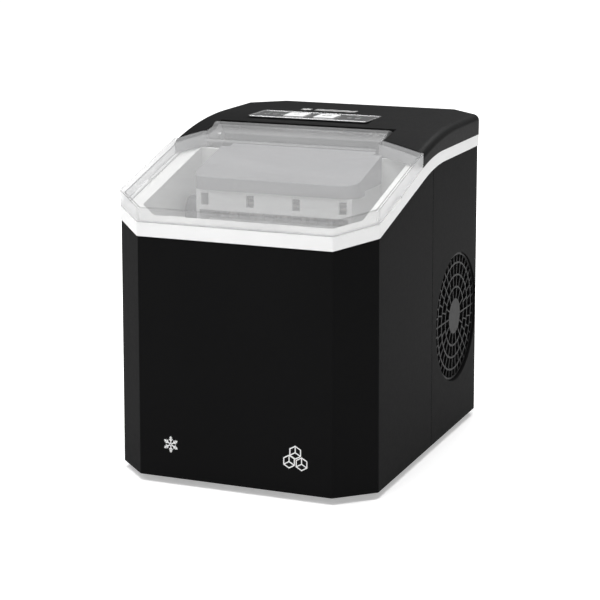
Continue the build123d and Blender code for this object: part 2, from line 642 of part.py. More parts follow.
def water_tray():
    """Half-round trough that tips about its own axis. Its ends are low, to pass under the tube."""
    outer_r = TRAY_R + TRAY_WALL
    end_x = TRAY_HALF - TRAY_WALL
    trough = rod_x(outer_r, -TRAY_HALF, TRAY_HALF, TRAY_Y, TRAY_Z)
    trough -= rod_x(TRAY_R, -TRAY_HALF - 1, TRAY_HALF + 1, TRAY_Y, TRAY_Z)
    trough &= block(-TRAY_HALF, TRAY_HALF, TRAY_Y - outer_r, TRAY_Y + outer_r, TRAY_Z - outer_r,
                    TRAY_Z - TRAY_RIM_DROP)
    below_ends = block(-TRAY_HALF, TRAY_HALF, TRAY_Y - outer_r, TRAY_Y + outer_r, TRAY_Z - outer_r,
                       TRAY_Z - TRAY_END_DROP)
    for x0 in (-TRAY_HALF, end_x):
        end = rod_x(outer_r, x0, x0 + TRAY_WALL, TRAY_Y, TRAY_Z) & below_ends
        trough += end + rod_x(TRAY_HUB_R, x0, x0 + TRAY_WALL, TRAY_Y, TRAY_Z)
    return trough - rod_x(TRAY_PIN_R, -TRAY_HALF - 1, TRAY_HALF + 1, TRAY_Y, TRAY_Z)


def tray_pins():
    """Stub shafts at the ends of the tray, the left one long enough to carry the crank."""
    inner_x = TRAY_HALF - TRAY_WALL
    collar_x = FRAME_X - 0.3
    left = rod_x(TRAY_PIN_R, -FRAME_X - FRAME_WALL - 4.5, -inner_x, TRAY_Y, TRAY_Z)
    left += rod_x(5.0, -collar_x, -TRAY_HALF, TRAY_Y, TRAY_Z)
    right = rod_x(TRAY_PIN_R, inner_x, FRAME_X + FRAME_WALL + 1, TRAY_Y, TRAY_Z)
    right += rod_x(5.0, TRAY_HALF, collar_x, TRAY_Y, TRAY_Z)
    return [left, right]


def tray_crank():
    x1 = -FRAME_X - FRAME_WALL - 0.8
    x0 = x1 - 3.2
    arm = rod_x(8.0, x0, x1, TRAY_Y, TRAY_Z) + rod_x(4.0, x0, x1, TRAY_Y + 12, TRAY_Z)
    arm += block(x0, x1, TRAY_Y, TRAY_Y + 12, TRAY_Z - 4.0, TRAY_Z + 4.0)
    return arm - rod_x(TRAY_PIN_R, x0 - 1, x1 + 1, TRAY_Y, TRAY_Z)


def tray_motor():
    """Small gear motor on the left cheek, with a round body and two fixing ears."""
    x1 = -FRAME_X - FRAME_WALL - 4.8
    body = rod_x(13.0, x1 - 17, x1, TRAY_Y, TRAY_Z - 2)
    body += block(x1 - 3, x1, TRAY_Y - 20, TRAY_Y + 20, TRAY_Z - 6, TRAY_Z + 2)
    ears = [rod_x(4.0, x1 - 3, x1, TRAY_Y + dy, TRAY_Z - 2) for dy in (-20, 20)]
    return body + ears[0] + ears[1]


def motor_standoffs():
    x1 = -FRAME_X - FRAME_WALL
    return [rod_x(2.5, x1 - 4.8, x1, TRAY_Y + dy, TRAY_Z - 2) for dy in (-20.5, 20.5)]


def ice_pusher():
    """Comb plate under the trough, carried by two guide pins in the cheeks."""
    half = FRAME_X - 4.0
    plate = block(-half, half, PUSHER_Y - 1.5, PUSHER_Y + 1.5, CHUTE_Z + 4, 182)
    for i in range(12):
        x = -60.5 + 11 * i
        plate -= block(x - 2.5, x + 2.5, PUSHER_Y - 3, PUSHER_Y + 3, CHUTE_Z + 3, CHUTE_Z + 13)
    for side in (-1, 1):
        x0, x1 = sorted((side * (half - 1), side * (FRAME_X + FRAME_WALL + 1)))
        plate += rod_x(2.5, x0, x1, PUSHER_Y, PUSHER_Z)
    return plate


def ice_sensors():
    x1 = HALF - TUB_INSET - TUB_WALL
    right = block(x1 - 4.5, x1, FRONT + 88, FRONT + 100, 196, 206)
    right = fillet(right.edges().filter_by(Axis.X), 2.0)
    right += rod_x(2.2, x1 - 6.5, x1 - 4, FRONT + 94, 201)
    return [right, mirror(right, Plane.YZ)]


# ---- water side -------------------------------------------------------------------
def float_stem():
    stem = rod_z(2.5, FLOAT_X, FLOAT_Y, TUB_FLOOR_Z + TUB_WALL, 122)
    stop = rod_z(4.5, FLOAT_X, FLOAT_Y, 120, 122)
    seat = rod_z(4.5, FLOAT_X, FLOAT_Y, FLOAT_Z - 8.0 - 2.0, FLOAT_Z - 8.0)
    flange = rod_z(7.0, FLOAT_X, FLOAT_Y, TUB_FLOOR_Z + TUB_WALL, TUB_FLOOR_Z + TUB_WALL + 3)
    return stem + stop + seat + flange


def level_float():
    body = place(Cylinder(9.0, 16.0), FLOAT_X, FLOAT_Y, FLOAT_Z)
    body = fillet(body.edges().group_by(Axis.Z)[-1] + body.edges().group_by(Axis.Z)[0], 2.0)
    return body - rod_z(2.8, FLOAT_X, FLOAT_Y, 70, 120)


def drain_spout():
    """Elbow from the tub floor to a round socket in the left side."""
    pipe = drain_elbow(DRAIN_R, DRAIN_FACE_X, TUB_FLOOR_Z)
    pipe += rod_x(DRAIN_CUP_R, DRAIN_FACE_X, DRAIN_FACE_X + 3, DRAIN_Y, DRAIN_Z)
    return pipe - drain_elbow(DRAIN_BORE_R, DRAIN_FACE_X - 2, TUB_FLOOR_Z + 1)


def drain_elbow(radius, mouth_x, top_z):
    corner = Pos(DRAIN_X, DRAIN_Y, DRAIN_Z) * Sphere(radius)
    upright = rod_z(radius, DRAIN_X, DRAIN_Y, DRAIN_Z, top_z)
    return upright + corner + rod_x(radius, mouth_x, DRAIN_X, DRAIN_Y, DRAIN_Z)


def drain_plug():
    face = DRAIN_FACE_X
    cap = rod_x(DRAIN_R + 2.5, face - 3.5, face - 0.2, DRAIN_Y, DRAIN_Z)
    cap = fillet(cap.edges().group_by(Axis.X)[0], 1.2)
    grip = block(face - 6.5, face - 3.4, DRAIN_Y - 7, DRAIN_Y + 7, DRAIN_Z - 1.5, DRAIN_Z + 1.5)
    stem = rod_x(DRAIN_BORE_R - 0.3, face - 0.3, face + 14, DRAIN_Y, DRAIN_Z)
    return cap + grip + stem


def water_pump():
    body = rod_z(17.0, PUMP_X, PUMP_Y, BASE_TOP, BASE_TOP + 34)
    body = fillet(body.edges().group_by(Axis.Z)[-1], 3.0)
    body += rod_z(20.0, PUMP_X, PUMP_Y, BASE_TOP, BASE_TOP + 4)
    return body + rod_z(4.0, PUMP_X, PUMP_Y, BASE_TOP + 33, BASE_TOP + 44)


def pump_hose():
    """Hose from the pump up behind the tub and over the end of the tray."""
    points = [
        (PUMP_X, PUMP_Y, BASE_TOP + 44), (PUMP_X, PUMP_Y, 140),
        (PUMP_X + 6, TUB_REAR + 12, 190), (PUMP_X + 6, TUB_REAR + 12, 232),
        (PUMP_X + 6, TUB_REAR - 14, 232),
    ]
    return tube_along(points, [30.0, 30.0, 11.0], 4.5, 3.0)


# ---- cooling side -------------------------------------------------------------
def around_compressor(radius):
    """Three places round the compressor, one of them at the front."""
    angles = [math.radians(a) for a in (30, 150, 270)]
    return [(COMP_X + radius * math.cos(a), COMP_Y + radius * math.sin(a)) for a in angles]


def compressor():
    """Hollow welded shell with a bead round its seam."""
    bead = rod_z(COMP_R + 2.0, COMP_X, COMP_Y, COMP_SEAM_Z, COMP_SEAM_Z + 4)
    return domed_pot(0.0) + bead - domed_pot(COMP_WALL)


def domed_pot(inset):
    pot = rod_z(COMP_R - inset, COMP_X, COMP_Y, COMP_BOTTOM + inset, COMP_TOP - inset)
    pot = fillet(pot.edges().group_by(Axis.Z)[-1], 26.0 - inset)
    return fillet(pot.edges().group_by(Axis.Z)[0], 14.0 - inset)


def compressor_core():
    """Motor and pump block inside the shell, on three spring seats."""
    z0 = COMP_BOTTOM + COMP_WALL
    stator = rod_z(33.0, COMP_X, COMP_Y, z0 + 22, z0 + 70)
    block_top = block(COMP_X - 20, COMP_X + 26, COMP_Y - 18, COMP_Y + 18, z0 + 69, z0 + 96)
    core = stator + block_top
    for x, y in around_compressor(24.0):
        core += rod_z(6.0, x, y, z0, z0 + 23)
    return core


def compressor_cradle():
    """Three-armed foot plate under the compressor."""
    z0 = COMP_BOTTOM - CRADLE_THICK
    plate = rod_z(30, COMP_X, COMP_Y, z0, COMP_BOTTOM)
    for x, y in around_compressor(COMP_FOOT_R):
        angle = math.degrees(math.atan2(y - COMP_Y, x - COMP_X))
        middle = Pos((x + COMP_X) / 2, (y + COMP_Y) / 2, z0 + CRADLE_THICK / 2)
        plate += middle * Rot(0, 0, angle) * Box(COMP_FOOT_R, 22, CRADLE_THICK)
        plate += rod_z(11, x, y, z0, COMP_BOTTOM)
    for x, y in around_compressor(COMP_FOOT_R):
        plate -= rod_z(4.0, x, y, z0 - 1, COMP_BOTTOM + 1)
    return plate


def compressor_grommets():
    grommets = []
    for x, y in around_compressor(COMP_FOOT_R):
        ring = rod_z(8.0, x, y, BASE_TOP, COMP_BOTTOM - CRADLE_THICK)
        grommets.append(ring - rod_z(3.0, x, y, 0, 40))
    return grommets


def compressor_bolts():
    bolts = []
    for x, y in around_compressor(COMP_FOOT_R):
        shank = rod_z(2.9, x, y, BASE_TOP, COMP_BOTTOM)
        bolts.append(shank + rod_z(5.5, x, y, COMP_BOTTOM, COMP_BOTTOM + 3))
    return bolts


def terminal_cover():
    x0 = COMP_X - COMP_R - 16
    cap = block(x0, COMP_X - 30, COMP_Y - 16, COMP_Y + 16, COMP_BOTTOM + 30, COMP_BOTTOM + 66)
    cap = fillet(cap.edges().group_by(Axis.X)[0], 3.0)
    return cap - rod_z(COMP_R, COMP_X, COMP_Y, COMP_BOTTOM, COMP_SEAM_Z)


def condenser_levels():
    return [COND_BOTTOM + 13 + COND_PASS * i for i in range(5)]


def condenser_rows():
    return [(COND_X + side * COND_ROW, z) for z in condenser_levels() for side in (-1, 1)]


def condenser_fins():
    """Stack of thin plates, joined by the two side plates, pierced for the tubes."""
    count = int(COND_LENGTH / FIN_PITCH)
    y0 = COND_Y - FIN_PITCH * (count - 1) / 2
    plates = []
    for i in range(count):
        thick = 1.4 if i in (0, count - 1) else 0.5
        fin = Pos(COND_X, y0 + FIN_PITCH * i, COND_BOTTOM + COND_HEIGHT / 2) * Box(COND_W, thick, COND_HEIGHT)
        for x, z in condenser_rows():
            fin -= rod_y(COND_TUBE_R, x, COND_Y - 80, COND_Y + 80, z)
        plates.append(fin)
    return plates


def condenser_tube():
    """One tube back and forth through the fins, five passes in each row."""
    y0 = COND_Y - COND_LENGTH / 2 - 6
    y1 = COND_Y + COND_LENGTH / 2 + 6
    near = COND_X - COND_ROW
    far = COND_X + COND_ROW
    levels = condenser_levels()
    points = [(near, y0 - 8, levels[0])]
    side = y1
    for x, passes in ((near, levels), (far, levels[::-1])):
        for level in passes:
            points.append((x, y0 + y1 - side, level))
            points.append((x, side, level))
            side = y0 + y1 - side
    del points[1]
    points[-1] = (far, y0 - 8, levels[0])
    return tube_along(points, [6.0] * (len(points) - 2), COND_TUBE_R)


def condenser_feet():
    feet = []
    for dy in (-1, 1):
        y = COND_Y + dy * (COND_LENGTH / 2 - 8)
        leg = block(COND_X - 10, COND_X + 10, y - 6, y + 6, BASE_TOP, BASE_TOP + 2)
        leg += block(COND_X - 10, COND_X + 10, y - 1, y + 1, BASE_TOP, COND_BOTTOM)
        feet.append(leg)
    return feet


def filter_drier():
    y = FRONT + 172.0
    body = rod_z(8.0, 24, y, 60, 120)
    body = fillet(body.edges().group_by(Axis.Z)[-1] + body.edges().group_by(Axis.Z)[0], 5.0)
    return body + rod_z(2.5, 24, y, 52, 128)


def hot_gas_valve():
    y = FRONT + 174.0
    body = block(-14, 4, y - 9, y + 9, 166, 178)
    coil = rod_z(11.0, -5, y, 178, 200)
    cap = rod_z(4.0, -5, y, 200, 204)
    return body + coil + cap


def refrigerant_pipes():
    """Copper lines: discharge to condenser, gas to the valve and the suction return."""
    top = COMP_TOP
    discharge = tube_along(
        [(COMP_X + 18, COMP_Y + 10, top), (COMP_X + 18, COMP_Y + 10, top + 22),
         (COND_X - 6.5, COND_Y - 68, top + 22), (COND_X - 6.5, COND_Y - 68, 75)],
        [10.0, 12.0], 2.5)
    valve_line = tube_along(
        [(COMP_X - 12, COMP_Y - 8, top), (COMP_X - 12, COMP_Y - 8, top + 32),
         (-5, FRONT + 192, top + 32), (-5, FRONT + 192, 172), (-5, FRONT + 183, 172)],
        [10.0, 10.0, 5.0], 2.5)
    suction = tube_along(
        [(COMP_X - 20, COMP_Y, top), (COMP_X - 20, COMP_Y, 215), (-48, TUB_REAR + 28, 215),
         (-48, TUB_REAR + 28, 246), (-48, TUB_REAR + 20, 246)],
        [12.0, 10.0, 6.0], 2.8)
    return [discharge, valve_line, suction]


def electronics_tray():
    """Shelf across the rear compartment that carries the power board."""
    shelf = prism(WALL + 1.5, TRAY_BOARD_Z - 3, TRAY_BOARD_Z) & block(-150, 150, FRONT + 206, REAR, 0, 300)
    shelf -= block(-96, -58, FRONT + 200, FRONT + 250, 200, 260)
    for sx in (-1, 1):
        for sy in (-1, 1):
            shelf += rod_z(3.0, 10 + sx * 55, FRONT + 258 + sy * 34, TRAY_BOARD_Z, TRAY_BOARD_Z + 5)
    return shelf


def power_board():
    return block(-52, 72, FRONT + 218, FRONT + 298, TRAY_BOARD_Z + 5, TRAY_BOARD_Z + 6.6)


def board_parts():
    """Transformer, filter capacitor and three relays."""
    z = TRAY_BOARD_Z + 6.6
    relays = [block(-44 + 20 * i, -28 + 20 * i, FRONT + 224, FRONT + 240, z, z + 15) for i in range(3)]
    transformer = fillet(block(28, 62, FRONT + 226, FRONT + 256, z, z + 20).edges().filter_by(Axis.Z), 2.0)
    return relays + [transformer, rod_z(8.0, -30, FRONT + 268, z, z + 18)]


def cord_gland():
    """Rubber bushing in the rear wall, bored for the mains lead."""
    wall_y = REAR + DRAFT * (1 - (GLAND_Z - FOOT_HEIGHT) / (BAND_LOW_FRONT - FOOT_HEIGHT))
    bush = rod_y(7.0, GLAND_X, wall_y - WALL - 5, wall_y + 0.5, GLAND_Z)
    bush += rod_y(9.5, GLAND_X, wall_y + 0.2, wall_y + 3.0, GLAND_Z)
    bush += rod_y(8.5, GLAND_X, wall_y - WALL - 5, wall_y - WALL - 0.2, GLAND_Z)
    return bush - rod_y(CORD_R, GLAND_X, wall_y - 20, wall_y + 20, GLAND_Z)


def rear_screws():
    screws = []
    for x in (-70.0, 70.0):
        for z in (22.0, 236.0):
            wall_y = REAR + DRAFT * (1 - (z - FOOT_HEIGHT) / (BAND_LOW_FRONT - FOOT_HEIGHT))
            screws.append(Pos(x, wall_y, z) * Rot(-90, 0, 0) * screw(3.6, 2.2, 1.6, 9.0))
    return screws


def base_screws():
    places = [(x, y) for x in (-98.0, 98.0) for y in (FRONT + 60, 40.0)]
    return [Pos(x, y, FOOT_HEIGHT) * Rot(180, 0, 0) * screw(3.8, 2.2, 1.7, 9.0) for x, y in places]


def bored(shape, screws):
    """The shape with the screws' own holes in it."""
    for item in screws:
        shape -= item
    return shape


def write(name, shape):
    if isinstance(shape, (list, tuple)):
        shape = Compound(children=[Part(s.wrapped) if not isinstance(s, Compound) else s for s in shape])
    shape.label = name
    export_step(shape, f"parts/{name}.step")


PARTS = {
    "front_housing": front_housing,
    "rear_housing": lambda: bored(rear_housing(), rear_screws()),
    "base_plate": lambda: bored(base_plate(), base_screws()),
    "rubber_feet": rubber_feet,
    "trim_band": trim_band,
    "lid": lid,
    "hinge_pins": hinge_pins,
    "top_cover": top_cover,
    "panel_bezel": panel_bezel,
    "panel_overlay": panel_overlay,
    "power_button": lambda: button(button_places()["power"]),
    "select_button": lambda: button(button_places()["select"]),
    "indicator_leds": indicator_leds,
    "control_board": control_board,
    "board_posts": board_posts,
    "key_switches": key_switches,
    "side_grille": side_grille,
    "fan_shroud": fan_shroud,
    "fan_motor": fan_motor,
    "fan_rotor": fan_rotor,
    "ice_chamber": ice_chamber,
    "foam_jacket": foam_jacket,
    "ice_basket": ice_basket,
    "module_frame": module_frame,
    "module_cover": module_cover,
    "ice_fingers": ice_fingers,
    "evaporator_tube": evaporator_tube,
    "water_tray": water_tray,
    "tray_pins": tray_pins,
    "tray_crank": tray_crank,
    "tray_motor": tray_motor,
    "motor_standoffs": motor_standoffs,
    "ice_pusher": ice_pusher,
    "ice_sensors": ice_sensors,
    "float_stem": float_stem,
    "level_float": level_float,
    "drain_spout": drain_spout,
    "drain_plug": drain_plug,
    "water_pump": water_pump,
    "pump_hose": pump_hose,
    "compressor": compressor,
    "compressor_core": compressor_core,
    "compressor_cradle": compressor_cradle,
    "compressor_grommets": compressor_grommets,
    "compressor_bolts": compressor_bolts,
    "terminal_cover": terminal_cover,
    "condenser_fins": condenser_fins,
    "condenser_tube": condenser_tube,
    "condenser_feet": condenser_feet,
    "filter_drier": filter_drier,
    "hot_gas_valve": hot_gas_valve,
    "refrigerant_pipes": refrigerant_pipes,
    "electronics_tray": electronics_tray,
    "power_board": power_board,
    "board_parts": board_parts,
    "cord_gland": cord_gland,
    "rear_screws": rear_screws,
    "base_screws": base_screws,
}

for node_name, make in PARTS.items():
    write(node_name, make())
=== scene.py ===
import json
import math

import bmesh
import bpy
from mathutils import Matrix, Vector


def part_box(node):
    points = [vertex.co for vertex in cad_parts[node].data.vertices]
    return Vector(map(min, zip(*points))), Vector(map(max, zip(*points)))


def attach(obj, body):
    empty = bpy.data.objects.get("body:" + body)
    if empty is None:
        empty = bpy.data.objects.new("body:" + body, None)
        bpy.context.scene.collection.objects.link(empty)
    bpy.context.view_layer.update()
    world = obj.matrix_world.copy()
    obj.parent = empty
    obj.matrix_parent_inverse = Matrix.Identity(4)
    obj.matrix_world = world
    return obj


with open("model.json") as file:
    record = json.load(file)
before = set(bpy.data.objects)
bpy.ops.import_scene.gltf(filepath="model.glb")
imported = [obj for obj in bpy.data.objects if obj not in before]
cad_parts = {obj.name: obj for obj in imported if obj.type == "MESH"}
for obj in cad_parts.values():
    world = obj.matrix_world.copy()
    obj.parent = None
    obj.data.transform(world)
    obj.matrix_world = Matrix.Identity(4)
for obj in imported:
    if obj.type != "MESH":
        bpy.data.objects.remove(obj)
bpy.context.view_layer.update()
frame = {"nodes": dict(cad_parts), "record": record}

MM = 0.001

# ---- places read from the frame ----------------------------------------------
HOUSING_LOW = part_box("front_housing")[0]
PANEL_LOW, PANEL_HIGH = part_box("panel_overlay")
BEZEL_LOW, BEZEL_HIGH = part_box("panel_bezel")
POWER_LOW, POWER_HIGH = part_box("power_button")
SELECT_LOW, SELECT_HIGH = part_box("select_button")

FRONT_FOOT_Y = HOUSING_LOW[1]          # front face at its foot
FRONT_DRAFT = 1.5 * MM / (204.7 * MM)  # lean of the front face over its height
COVER_TOP = BEZEL_LOW[2]

# ---- printed marks ---------------------------------------------------------------
INK_LINE = 0.9 * MM          # line width of the large marks
KEY_LINE = 0.4 * MM
PANEL_LINE = 0.35 * MM
INK_THICK = 0.12 * MM
KEY_INK_THICK = 0.08 * MM
PANEL_INK_THICK = 0.06 * MM
SNOWFLAKE_PLACE = (-58 * MM, 35 * MM)  # x and z on the front face
CUBES_PLACE = (57 * MM, 36 * MM)

# ---- materials and lights --------------------------------------------------------
LID_EDGE_RADIUS = 1.5 * MM
# name, azimuth, elevation, distance, size and power of each softbox
SOFTBOXES = (
    ("left", -100, 22, 1.9, (1.4, 1.6), 5.0),
    ("front_left", -24, 30, 2.4, (1.0, 1.0), 5.0),
    ("top", -20, 78, 1.8, (1.6, 1.6), 46.0),
    ("back_right", 158, 26, 2.2, (1.4, 1.2), 3.0),
    ("back_high", 172, 48, 2.0, (1.1, 0.7), 16.0),
)

# ---- camera, as the photograph sees the object --------------------------------
VIEW_AZIMUTH = math.radians(22.12)
VIEW_ELEVATION = math.radians(13.14)
VIEW_DISTANCE = 1.684
VIEW_TARGET = Vector((0.0029, -0.0242, 0.1347))
LENS_MM = 115.14


def add_camera():
    data = bpy.data.cameras.new("camera")
    data.lens = LENS_MM
    data.sensor_width = 36.0
    data.clip_end = 60.0
    camera = bpy.data.objects.new("camera", data)
    outward = Vector((
        math.sin(VIEW_AZIMUTH) * math.cos(VIEW_ELEVATION),
        -math.cos(VIEW_AZIMUTH) * math.cos(VIEW_ELEVATION),
        math.sin(VIEW_ELEVATION),
    ))
    camera.location = VIEW_TARGET + outward * VIEW_DISTANCE
    camera.rotation_euler = outward.to_track_quat("Z", "Y").to_euler()
    bpy.context.scene.collection.objects.link(camera)
    bpy.context.scene.camera = camera


# ---- node helpers ---------------------------------------------------------------
class Nodes:
    """A material's node tree with short ways to add and join nodes."""

    def __init__(self, name):
        self.material = bpy.data.materials.new(name)
        self.material.use_nodes = True
        self.tree = self.material.node_tree
        self.shader = self.tree.nodes["Principled BSDF"]
        self.coords = self.add("ShaderNodeTexCoord").outputs["Object"]

    def add(self, kind, **values):
        node = self.tree.nodes.new(kind)
        for key, value in values.items():
            setattr(node, key, value)
        return node

    def link(self, source, target):
        self.tree.links.new(source, target)

    def noise(self, scale, detail=4.0, rough=0.55, stretch=(1, 1, 1)):
        mapping = self.add("ShaderNodeMapping")
        mapping.inputs["Scale"].default_value = stretch
        self.link(self.coords, mapping.inputs["Vector"])
        node = self.add("ShaderNodeTexNoise")
        node.inputs["Scale"].default_value = scale
        node.inputs["Detail"].default_value = detail
        node.inputs["Roughness"].default_value = rough
        self.link(mapping.outputs["Vector"], node.inputs["Vector"])
        return node.outputs["Fac"]

    def voronoi(self, scale, feature="F1"):
        node = self.add("ShaderNodeTexVoronoi", feature=feature)
        node.inputs["Scale"].default_value = scale
        self.link(self.coords, node.inputs["Vector"])
        return node.outputs["Distance"]

    def span(self, value, low, high, to_low, to_high):
        node = self.add("ShaderNodeMapRange", clamp=True)
        node.inputs["From Min"].default_value = low
        node.inputs["From Max"].default_value = high
        node.inputs["To Min"].default_value = to_low
        node.inputs["To Max"].default_value = to_high
        self.link(value, node.inputs["Value"])
        return node.outputs["Result"]

    def maths(self, operation, a, b):
        node = self.add("ShaderNodeMath", operation=operation)
        for socket, value in zip(node.inputs, (a, b)):
            if isinstance(value, (int, float)):
                socket.default_value = value
            else:
                self.link(value, socket)
        return node.outputs["Value"]

    def mix(self, factor, first, second, blend="MIX"):
        node = self.add("ShaderNodeMix", data_type="RGBA", blend_type=blend)
        if isinstance(factor, (int, float)):
            node.inputs["Factor"].default_value = factor
        else:
            self.link(factor, node.inputs["Factor"])
        for socket, value in ((node.inputs["A"], first), (node.inputs["B"], second)):
            if isinstance(value, tuple):
                socket.default_value = (*value, 1.0)
            else:
                self.link(value, socket)
        return node.outputs["Result"]

    def edges(self, radius):
        """(rounded normal, mask that is 1 on edges)."""
        bevel = self.add("ShaderNodeBevel", samples=4)
        bevel.inputs["Radius"].default_value = radius
        geometry = self.add("ShaderNodeNewGeometry")
        dot = self.add("ShaderNodeVectorMath", operation="DOT_PRODUCT")
        self.link(bevel.outputs["Normal"], dot.inputs[0])
        self.link(geometry.outputs["Normal"], dot.inputs[1])
        mask = self.span(dot.outputs["Value"], 0.72, 0.985, 1.0, 0.0)
        return bevel.outputs["Normal"], mask

    def bump(self, height, distance, strength=1.0, normal=None):
        node = self.add("ShaderNodeBump")
        node.inputs["Distance"].default_value = distance
        node.inputs["Strength"].default_value = strength
        self.link(height, node.inputs["Height"])
        if normal is not None:
            self.link(normal, node.inputs["Normal"])
        return node.outputs["Normal"]

    def set(self, **values):
        """Fill the shader's sockets and hand back the material."""
        names = {"base": "Base Color", "rough": "Roughness", "metal": "Metallic", "alpha": "Alpha",
                 "specular": "Specular IOR Level", "coat": "Coat Weight", "normal": "Normal",
                 "glow": "Emission Color", "glow_strength": "Emission Strength"}
        for key, value in values.items():
            socket = self.shader.inputs[names[key]]
            if isinstance(value, tuple):
                socket.default_value = (*value, 1.0)
            elif isinstance(value, (int, float)):
                socket.default_value = value
            else:
                self.link(value, socket)
        return self.material


def moulded(name, colour, rough, specular=0.5, grain=1500.0, grain_depth=0.02, edge=0.5 * MM, worn=0.25,
            mottle=0.05, coat=0.0):
    """Moulded plastic: fine spark texture, faint mottling, edges rubbed paler and smoother."""
    n = Nodes(name)
    rounded, mask = n.edges(edge)
    cloud = n.noise(9.0, 3.0)
    fine = n.noise(grain, 2.0)
    dark = tuple(c * (1 - mottle) for c in colour)
    light = tuple(min(1.0, c * (1 + mottle)) for c in colour)
    base = n.mix(n.span(cloud, 0.3, 0.7, 0, 1), dark, light)
    rubbed = tuple(min(1.0, c * 1.25 + 0.015) for c in colour)
    wear = n.maths("MULTIPLY", mask, n.span(n.noise(140.0, 3.0), 0.35, 0.7, 0.1, worn))
    base = n.mix(wear, base, rubbed)
    texture = n.span(n.noise(260.0, 3.0), 0.3, 0.7, rough - 0.025, rough + 0.025)
    smoother = n.maths("SUBTRACT", texture, n.maths("MULTIPLY", wear, 0.2))
    normal = n.bump(fine, grain_depth * MM, 1.0, rounded)
    return n.set(base=base, rough=smoother, specular=specular, normal=normal, coat=coat)


def clear_plastic(name, colour, edge_shade_colour, alpha_face, alpha_side, alpha_wall, alpha_edge_shade, rough):
    """Smoky clear moulding: see-through face on, denser at a glancing angle and along its edges, where a
    near-black painted shade is laid.
    """
    n = Nodes(name)
    rounded, mask = n.edges(LID_EDGE_RADIUS)
    facing = n.add("ShaderNodeLayerWeight")
    facing.inputs["Blend"].default_value = 0.5
    flow = n.noise(14.0, 3.0, stretch=(1.0, 2.5, 1.0))
    alpha = n.span(facing.outputs["Facing"], 0.1, 0.95, alpha_face, alpha_side)
    # denser on upright walls, by the world normal, so this holds only while the lid is closed
    upright = n.add("ShaderNodeSeparateXYZ")
    n.link(n.add("ShaderNodeNewGeometry").outputs["Normal"], upright.inputs["Vector"])
    wall = n.span(n.maths("ABSOLUTE", upright.outputs["Z"], 0.0), 0.2, 0.6, alpha_wall, 0.0)
    alpha = n.maths("ADD", alpha, wall)
    alpha = n.maths("ADD", alpha, n.span(flow, 0.35, 0.65, -0.02, 0.03))
    # painted shade: the edges are made near opaque and tinted near black, standing in for the dark look of
    # light bent at the lid's edges
    alpha = n.maths("MAXIMUM", alpha, n.maths("MULTIPLY", mask, alpha_edge_shade))
    tint_with_edge_shade = n.mix(mask, colour, edge_shade_colour)
    tint_with_edge_shade = n.mix(n.span(flow, 0.3, 0.7, 0.0, 0.1), tint_with_edge_shade, tuple(c * 0.7 for c in colour))
    rough_map = n.span(n.noise(90.0, 3.0), 0.3, 0.7, rough - 0.03, rough + 0.04)
    normal = n.bump(n.noise(45.0, 2.0), 0.02 * MM, 1.0, rounded)
    return n.set(base=tint_with_edge_shade, rough=rough_map, alpha=alpha, specular=0.5, normal=normal)


def brushed(name, colour, rough, stretch=(1, 1, 30), scratch=900.0, tarnish=0.15):
    """Metal with drawn lines, small stains and bright edges."""
    n = Nodes(name)
    rounded, mask = n.edges(0.3 * MM)
    lines = n.noise(scratch, 2.0, stretch=stretch)
    stain = n.span(n.noise(35.0, 5.0), 0.45, 0.7, 0.0, 1.0)
    base = n.mix(n.maths("MULTIPLY", stain, tarnish), colour, tuple(c * 0.55 for c in colour))
    base = n.mix(n.maths("MULTIPLY", mask, 0.3), base, tuple(min(1, c * 1.3) for c in colour))
    rough_map = n.span(lines, 0.3, 0.7, rough - 0.08, rough + 0.1)
    normal = n.bump(lines, 0.01 * MM, 0.6, rounded)
    return n.set(base=base, metal=1.0, rough=rough_map, normal=normal)


def rubber(name, colour):
    """Matt rubber with a little dust and paler edges."""
    n = Nodes(name)
    rounded, mask = n.edges(0.4 * MM)
    dust = n.span(n.noise(120.0, 5.0), 0.45, 0.75, 0.0, 0.35)
    base = n.mix(n.maths("MAXIMUM", dust, n.maths("MULTIPLY", mask, 0.3)), colour,
                 tuple(c * 2.2 + 0.02 for c in colour))
    normal = n.bump(n.noise(2200.0, 2.0), 0.03 * MM, 1.0, rounded)
    return n.set(base=base, rough=n.span(dust, 0.0, 0.35, 0.7, 0.9), specular=0.3, normal=normal)


def foam(name, colour):
    """Insulating foam with open cells, each hollow painted darker as painted shade."""
    n = Nodes(name)
    cells = n.voronoi(900.0)
    base = n.mix(n.span(n.noise(22.0, 4.0), 0.3, 0.7, 0, 1), colour, tuple(c * 0.86 for c in colour))
    # painted shade: the colour darkens towards each cell's centre, where the bump sinks into a hollow
    base = n.mix(n.span(cells, 0.0, 0.5, 0.35, 0.0), base, tuple(c * 0.6 for c in colour))
    return n.set(base=base, rough=0.95, specular=0.1, normal=n.bump(cells, 0.3 * MM, 0.8))


def circuit(name, colour):
    """Coated board with paler copper runs under the lacquer."""
    n = Nodes(name)
    runs = n.add("ShaderNodeTexBrick")
    runs.inputs["Scale"].default_value = 160.0
    runs.inputs["Mortar Size"].default_value = 0.04
    n.link(n.coords, runs.inputs["Vector"])
    lighter = tuple(c * 1.8 + 0.02 for c in colour)
    base = n.mix(runs.outputs["Fac"], colour, lighter)
    pads = n.span(n.voronoi(260.0), 0.0, 0.12, 1.0, 0.0)
    base = n.mix(pads, base, (0.6, 0.5, 0.25))
    return n.set(base=base, rough=n.span(n.noise(80.0), 0.3, 0.7, 0.25, 0.4), coat=0.4,
                 normal=n.bump(runs.outputs["Fac"], 0.04 * MM))


def printed(name, colour):
    """Screen-printed ink with a slightly broken film."""
    n = Nodes(name)
    film = n.span(n.noise(700.0, 3.0), 0.3, 0.75, 0.0, 1.0)
    base = n.mix(film, colour, tuple(c * 0.86 for c in colour))
    return n.set(base=base, rough=n.span(film, 0, 1, 0.5, 0.62), specular=0.3,
                 normal=n.bump(film, 0.01 * MM))


